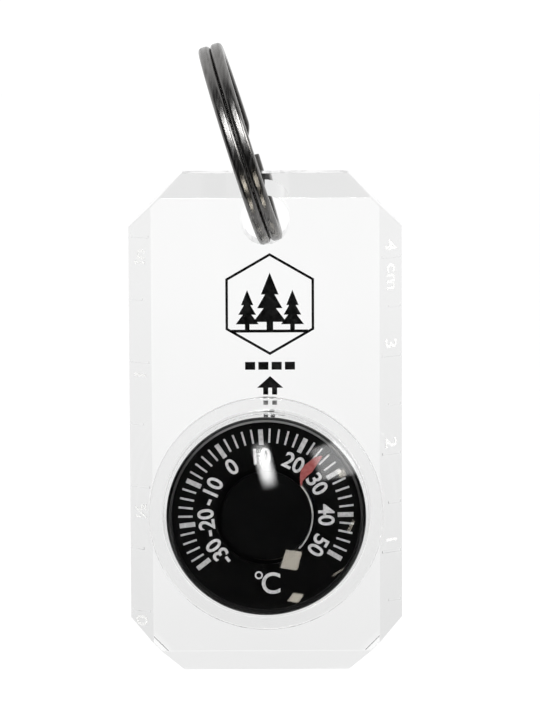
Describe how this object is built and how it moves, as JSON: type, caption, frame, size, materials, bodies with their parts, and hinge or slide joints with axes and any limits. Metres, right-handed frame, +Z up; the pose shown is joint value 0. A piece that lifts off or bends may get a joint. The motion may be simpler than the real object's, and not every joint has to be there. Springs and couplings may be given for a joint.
{
  "type": "thermometer tag",
  "caption": "Clear ruler plate with a domed dial thermometer, hung on a split ring as a zip pull or key-ring tag.",
  "frame": {"origin": "centre of the split ring, where it is threaded on a zip pull, lanyard or key loop", "axes": "+Z up the tag from its foot to its ring hole; the dial and the bevels face -Y; +X to the right of the dial"},
  "size_m": [0.0276, 0.0206, 0.0639],
  "materials": {
    "nickel_steel": "dark nickel plate, drawn",
    "clear_acrylic": "clear moulded acrylic",
    "clear_lens": "clear moulded acrylic, polished",
    "black_plastic": "black moulded",
    "dial_black": "matt black",
    "bright_wire": "bright drawn wire",
    "brass_post": "turned",
    "bimetal_strip": "rolled strip",
    "red_paint": "matt red"
  },
  "bodies": {
    "ring": {"split_ring": "nickel_steel"},
    "tag": {"baseplate": "clear_acrylic", "lens": "clear_lens", "case_cup": "black_plastic", "dial_plate": "dial_black", "retaining_ring": "bright_wire", "coil_cover": "dial_black", "centre_post": "brass_post", "bimetal_coil": "bimetal_strip"},
    "pointer": {"pointer_arm": "bimetal_strip", "pointer_blade": "red_paint"}
  },
  "joints": [
    {"name": "tag_swing", "type": "hinge", "parent": "ring", "child": "tag", "pos_m": [0.00242, 0.0025, -0.00768], "axis": [0, 1, 0], "range_deg": [-126, 90]},
    {"name": "pointer_turn", "type": "hinge", "parent": "tag", "child": "pointer", "pos_m": [0.00242, -0.0018, -0.03748], "axis": [0, 1, 0], "range_deg": [-170, 77], "stiffness_Nm_per_rad": 0.0002, "deforming": ["bimetal_coil"]}
  ]
}
